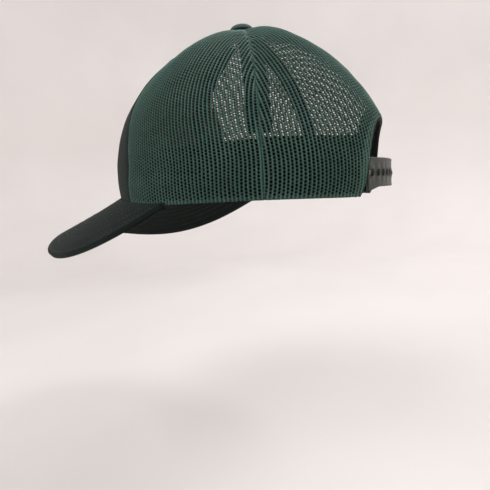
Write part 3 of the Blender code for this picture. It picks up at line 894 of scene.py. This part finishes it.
def make_closure():
    root = math.asin(STRAP_ROOT / STRAP_RADIUS)
    first = (root - math.asin(HOLE_FIRST / STRAP_RADIUS)) * STRAP_RADIUS
    holes = [first + k * HOLE_PITCH for k in range(HOLE_COUNT)]
    span = 2 * root * STRAP_RADIUS
    pegs = [span - holes[-2] - k * HOLE_PITCH for k in range(PEG_COUNT)]
    piece = strap("strap_with_holes", 1, STRAP_RADIUS, holes[-1] + STRAP_TIP, holes, [])
    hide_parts("hole_strap")
    dress(piece, STRAP, "hole_strap")
    inner = STRAP_RADIUS - STRAP_THICK - STRAP_GAP
    piece = strap("strap_with_pegs", -1, inner, pegs[0] + STRAP_TIP, [], pegs)
    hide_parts("peg_strap")
    dress(piece, STRAP, "peg_strap")


# ---------------------------------------------------------------- button


def make_button():
    """Cloth drawn over a domed shell, gathered at its foot."""
    a = np.arange(96) * 2 * np.pi / 96
    rise = np.concatenate([[-0.2, 0.0, 0.25, 0.6], np.linspace(0.9, BUTTON_HEIGHT, 22)])
    share = np.clip((rise - 0.8) / (BUTTON_HEIGHT - 0.8), 0, 1)
    radius = BUTTON_RADIUS * np.sqrt(np.maximum(1 - share**2.2, 1e-4))
    radius[:4] = (BUTTON_RADIUS - 2.0, BUTTON_RADIUS - 0.7, BUTTON_RADIUS - 0.2, BUTTON_RADIUS)
    gather = 0.16 * (1 - smooth(0.0, 2.4, rise))[:, None] * np.sin(17 * a + 0.6 * np.sin(3 * a))
    seam = 0.1 * np.exp(-((np.sin(3 * a) / 0.09) ** 2)) * smooth(0.5, 2.0, rise)[:, None]
    r = radius[:, None] + gather - seam
    x, y = r * np.cos(a), APEX_BACK + r * np.sin(a)
    outer = np.stack([x, y, BUTTON_BASE + rise[:, None] + 0 * x], -1)
    flat = np.stack([r * np.cos(a), r * np.sin(a) + rise[:, None]], -1)
    index = np.arange(outer.shape[0] * 96).reshape(-1, 96)
    right = np.roll(index, -1, axis=1)
    quads = np.stack([index[:-1], right[:-1], right[1:], index[1:]], -1).reshape(-1, 4)
    faces = quads.tolist() + [index[-1].tolist(), index[0][::-1].tolist()]
    piece = mesh_piece("button_cloth", outer, faces, flat)
    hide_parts("button_cover")
    dress(piece, BUTTON)


# ---------------------------------------------------------------- materials


class Shader:
    """A Principled material with short names for the nodes that it needs."""

    def __init__(self, name, roughness, **fixed):
        self.material = bpy.data.materials.new(name)
        self.material.use_nodes = True
        self.tree = self.material.node_tree
        self.shader = self.tree.nodes["Principled BSDF"]
        self.shader.inputs["Roughness"].default_value = roughness
        for key, value in fixed.items():
            self.shader.inputs[key.replace("_", " ").title()].default_value = value

    def node(self, kind, **settings):
        made = self.tree.nodes.new(kind)
        for key, value in settings.items():
            setattr(made, key, value)
        return made

    def link(self, source, target):
        self.tree.links.new(source, target)

    def math(self, operation, a, b=0.0):
        made = self.node("ShaderNodeMath", operation=operation)
        for socket, value in zip(made.inputs, (a, b), strict=False):
            if isinstance(value, (int, float)):
                socket.default_value = value
            else:
                self.link(value, socket)
        return made.outputs[0]

    def attribute(self, name, output="Vector"):
        return self.node("ShaderNodeAttribute", attribute_name=name).outputs[output]

    def object_space(self):
        return self.node("ShaderNodeTexCoord").outputs["Object"]

    def noise(self, scale, detail=3.0, vector=None, rough=0.55):
        made = self.node("ShaderNodeTexNoise")
        made.inputs["Scale"].default_value = scale
        made.inputs["Detail"].default_value = detail
        made.inputs["Roughness"].default_value = rough
        self.link(vector or self.object_space(), made.inputs["Vector"])
        return made.outputs["Fac"]

    def ramp(self, factor, *stops):
        made = self.node("ShaderNodeValToRGB")
        elements = made.color_ramp.elements
        while len(elements) < len(stops):
            elements.new(0.5)
        for element, (place, colour) in zip(elements, stops, strict=True):
            element.position = place
            element.color = (*colour, 1.0)
        self.link(factor, made.inputs["Fac"])
        return made.outputs["Color"]

    def mix(self, factor, a, b, blend="MIX"):
        made = self.node("ShaderNodeMix", data_type="RGBA", blend_type=blend)
        sockets = (made.inputs[0], made.inputs[6], made.inputs[7])
        for socket, value in zip(sockets, (factor, a, b), strict=True):
            if isinstance(value, tuple):
                socket.default_value = (*value, 1.0)
            elif isinstance(value, (int, float)):
                socket.default_value = value
            else:
                self.link(value, socket)
        return made.outputs[2]

    def colour(self, value):
        self.link(value, self.shader.inputs["Base Color"])

    def bump(self, height, distance, before=None):
        made = self.node("ShaderNodeBump")
        made.inputs["Distance"].default_value = distance * MM
        made.inputs["Strength"].default_value = 1.0
        self.link(height, made.inputs["Height"])
        if before is not None:
            self.link(before, made.inputs["Normal"])
        self.link(made.outputs[0], self.shader.inputs["Normal"])
        return made.outputs[0]

    def weave(self, pitch, twill=0.0):
        """A plain weave, or a twill where twill is 1, in the cloth's own coordinates."""
        split = self.node("ShaderNodeSeparateXYZ")
        self.link(self.attribute("flat"), split.inputs[0])
        x, y = split.outputs[0], split.outputs[1]
        turn = 2 * math.pi / pitch
        across = self.math("SINE", self.math("MULTIPLY", x, turn))
        y = self.math("ADD", y, self.math("MULTIPLY", x, twill))
        along = self.math("SINE", self.math("MULTIPLY", y, turn))
        return self.math("MULTIPLY_ADD", self.math("MULTIPLY", across, along), 0.5)


def scaled(colour, factor):
    return tuple(c * factor for c in colour)


def cloth(name, colour, pitch, roughness, depth, twill=0.0, spread=0.25, sheen=0.015):
    s = Shader(name, roughness, sheen_weight=sheen, sheen_roughness=0.45)
    s.shader.inputs["Sheen Tint"].default_value = (*scaled((1, 1, 1), 0.8), 1.0)
    s.shader.inputs["Specular IOR Level"].default_value = 0.09
    patches = s.noise(38.0, 4.0)
    fibres = s.noise(2600.0, 2.0)
    tone = s.ramp(patches, (0.3, scaled(colour, 1 - spread)), (0.7, scaled(colour, 1 + spread)))
    weave = s.weave(pitch, twill)
    lift = s.math("ADD", s.math("MULTIPLY", weave, 0.35), s.math("MULTIPLY", fibres, 0.5))
    shade = s.ramp(lift, (0.05, (0.72, 0.72, 0.72)), (0.65, (1.2, 1.2, 1.2)))
    s.colour(s.mix(1.0, tone, shade, "MULTIPLY"))
    first = s.bump(weave, depth)
    s.bump(fibres, 0.12, first)
    return s.material


def net_material():
    s = Shader("net_yarn", 0.45, sheen_weight=0.04, sheen_roughness=0.4)
    s.shader.inputs["Sheen Tint"].default_value = (0.75, 1.0, 0.9, 1.0)
    s.shader.inputs["Specular IOR Level"].default_value = 0.25
    rise = s.attribute("rise", "Fac")
    patches = s.noise(30.0, 4.0)
    fibres = s.noise(3000.0, 2.0)
    tone = s.ramp(patches, (0.3, (0.018, 0.050, 0.039)), (0.7, (0.029, 0.070, 0.055)))
    # Painted light: the rise level paints shade on the yarn round the holes and a painted highlight
    # along the raised ribs.
    shade = s.ramp(rise, (0.0, (0.18,) * 3), (0.5, (0.7,) * 3), (1.0, (2.5,) * 3))
    colour = s.mix(1.0, tone, shade, "MULTIPLY")
    lint = s.ramp(fibres, (0.35, (0.8, 0.8, 0.8)), (0.7, (1.25, 1.25, 1.25)))
    s.colour(s.mix(1.0, colour, lint, "MULTIPLY"))
    split = s.node("ShaderNodeSeparateXYZ")
    s.link(s.attribute("flat"), split.inputs[0])
    x, y = split.outputs[0], split.outputs[1]
    fold = s.math("PINGPONG", s.math("ADD", x, NET_PITCH / 2), NET_PITCH / 2)
    chain = s.math("ADD", s.math("MULTIPLY", y, 2 * math.pi / 0.65), s.math("MULTIPLY", fold, 6.0))
    first = s.bump(s.math("SINE", chain), 0.09)
    s.bump(fibres, 0.1, first)
    return s.material


def foam_material():
    s = Shader("open_foam", 0.9)
    s.shader.inputs["Specular IOR Level"].default_value = 0.2
    cells = s.node("ShaderNodeTexVoronoi", feature="SMOOTH_F1")
    cells.inputs["Scale"].default_value = 1500.0
    cells.inputs["Smoothness"].default_value = 0.4
    s.link(s.object_space(), cells.inputs["Vector"])
    patches = s.noise(60.0, 4.0)
    tone = s.ramp(patches, (0.3, (0.019, 0.017, 0.015)), (0.7, (0.031, 0.027, 0.024)))
    # Painted shade: each foam cell is darkened towards its middle, where its pore is deepest.
    painted_pore_shade = s.ramp(cells.outputs["Distance"], (0.1, (0.35, 0.35, 0.35)), (0.6, (1.3, 1.3, 1.3)))
    s.colour(s.mix(1.0, tone, painted_pore_shade, "MULTIPLY"))
    s.bump(cells.outputs["Distance"], 0.5)
    return s.material


def plastic_material():
    s = Shader("moulded_strap", 0.42)
    s.shader.inputs["Specular IOR Level"].default_value = 0.28
    patches = s.noise(45.0, 5.0)
    grain = s.noise(1900.0, 3.0)
    tone = s.ramp(patches, (0.3, (0.019, 0.023, 0.018)), (0.7, (0.027, 0.031, 0.025)))
    wear = s.ramp(grain, (0.3, (0.9, 0.9, 0.9)), (0.75, (1.12, 1.12, 1.12)))
    s.colour(s.mix(1.0, tone, wear, "MULTIPLY"))
    s.link(s.ramp(grain, (0.3, (0.36,) * 3), (0.7, (0.5,) * 3)), s.shader.inputs["Roughness"])
    s.bump(grain, 0.06)
    return s.material


def thread_material(name, colour):
    s = Shader(name, 0.5, sheen_weight=0.05)
    s.shader.inputs["Specular IOR Level"].default_value = 0.2
    twist = s.noise(4200.0, 1.0)
    s.colour(s.ramp(twist, (0.3, scaled(colour, 0.7)), (0.7, scaled(colour, 1.3))))
    s.bump(twist, 0.12)
    return s.material


def metal_material():
    s = Shader("plated_rivet", 0.32, metallic=1.0)
    grain = s.noise(900.0, 4.0)
    s.colour(s.ramp(grain, (0.3, (0.32, 0.31, 0.29)), (0.7, (0.45, 0.44, 0.42))))
    s.bump(grain, 0.05)
    return s.material


def dress(piece, material, body="cap"):
    piece.data.materials.clear()
    piece.data.materials.append(material)
    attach(piece, body)


NET = net_material()
FRONT = cloth("front_weave", (0.0082, 0.0145, 0.0122), 0.75, 0.65, 0.09)
VISOR = cloth("visor_weave", (0.0058, 0.0112, 0.0095), 0.8, 0.65, 0.12, spread=0.2)
UNDER = cloth("visor_lining_weave", (0.0048, 0.0078, 0.0068), 0.8, 0.75, 0.12)
TAPE = cloth("tape_twill", (0.0075, 0.0115, 0.0240), 0.9, 0.7, 0.14, twill=1.0)
BLACK_TAPE = cloth("binding_weave", (0.0045, 0.0052, 0.0052), 0.9, 0.6, 0.14, twill=1.0)
BAND = cloth("sweatband_twill", (0.0045, 0.0055, 0.0055), 1.0, 0.8, 0.16, twill=1.0)
BUTTON = cloth("button_weave", (0.050, 0.084, 0.078), 0.7, 0.6, 0.1)
FOAM = foam_material()
STRAP = plastic_material()
METAL = metal_material()
DARK_THREAD = thread_material("dark_thread", (0.008, 0.012, 0.011))
VISOR_THREAD = thread_material("visor_thread", (0.024, 0.034, 0.030))
UNDER_THREAD = thread_material("under_thread", (0.012, 0.018, 0.016))


# ---------------------------------------------------------------- stage


def area_light(name, place, aim, size, power, colour=(1, 1, 1)):
    data = bpy.data.lights.new(name, "AREA")
    data.shape = "RECTANGLE"
    data.size, data.size_y = size
    data.energy = power
    data.color = colour
    light = bpy.data.objects.new(name, data)
    bpy.context.scene.collection.objects.link(light)
    light.location = place
    light.rotation_euler = (Vector(aim) - Vector(place)).to_track_quat("-Z", "Y").to_euler()
    return light


def make_stage():
    """A pale floor that sweeps up into a far pale wall all round."""
    floor_z = -200.0
    profile = [(0.0, 0.0), (300.0, 0.0), (900.0, 0.0)]
    for k in range(1, 13):
        a = math.pi / 2 * k / 12
        profile.append((900.0 + 450.0 * math.sin(a), 450.0 * (1 - math.cos(a))))
    profile.append((1350.0, 2100.0))
    a = np.arange(96) * 2 * np.pi / 96
    rings = [np.stack([r * np.cos(a), r * np.sin(a), floor_z + h + 0 * a], -1) for r, h in profile[1:]]
    verts = np.concatenate([[[0, 0, floor_z]], *rings])
    faces = [[0, 1 + k, 1 + (k + 1) % 96] for k in range(96)]
    for ring in range(len(rings) - 1):
        for k in range(96):
            low, high = 1 + ring * 96, 1 + (ring + 1) * 96
            n = (k + 1) % 96
            faces.append([low + k, high + k, high + n, low + n])
    floor = mesh_piece("floor", verts, faces)
    s = Shader("floor_paint", 0.85)
    s.colour(s.ramp(s.noise(3.0, 3.0), (0.3, (0.600, 0.568, 0.555)), (0.7, (0.640, 0.608, 0.595))))
    floor.data.materials.append(s.material)
    world = bpy.data.worlds.new("studio")
    world.use_nodes = True
    world.node_tree.nodes["Background"].inputs["Color"].default_value = (0.96, 0.98, 1.0, 1.0)
    world.node_tree.nodes["Background"].inputs["Strength"].default_value = 0.62
    bpy.context.scene.world = world
    bpy.context.scene.view_settings.view_transform = "Standard"
    area_light("key", (0.75, -0.55, 1.0), (0, 0, 0.03), (0.9, 0.9), 11.0)
    area_light("fill", (0.7, 0.9, 0.5), (0, 0, 0.02), (1.0, 0.8), 4.5)
    area_light("rim", (-0.8, 0.1, 0.9), (0, 0, 0.05), (0.8, 0.8), 3.5)
    area_light("wall", (-0.3, 1.0, 1.5), (-1.3, 0.8, 0.1), (0.7, 0.7), 18.0)


def make_camera():
    data = bpy.data.cameras.new("camera")
    data.sensor_width = 36.0
    data.lens = 400 / 490 * 36
    camera = bpy.data.objects.new("camera", data)
    bpy.context.scene.collection.objects.link(camera)
    heading, pitch, roll = (math.radians(d) for d in (111.33, 7.57, -3.72))
    look = Vector(
        (-math.sin(heading) * math.cos(pitch), math.cos(heading) * math.cos(pitch), -math.sin(pitch))
    )
    right = look.cross(Vector((0, 0, 1))).normalized()
    up = right.cross(look)
    turned = math.cos(roll) * right + math.sin(roll) * up
    raised = -math.sin(roll) * right + math.cos(roll) * up
    matrix = Matrix((turned, raised, -look)).transposed().to_4x4()
    matrix.translation = Vector((0.2876, 0.1067, 0.0049))
    camera.matrix_world = matrix
    bpy.context.scene.camera = camera


make_nets()
make_front()
make_tapes()
make_sweatband()
make_binding()
make_visor()
make_closure()
make_button()
for node, finish in (("visor_board", UNDER), ("button_rivet", METAL)):
    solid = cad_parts[node]
    solid.data.materials.clear()
    solid.data.materials.append(finish)
make_stage()
make_camera()
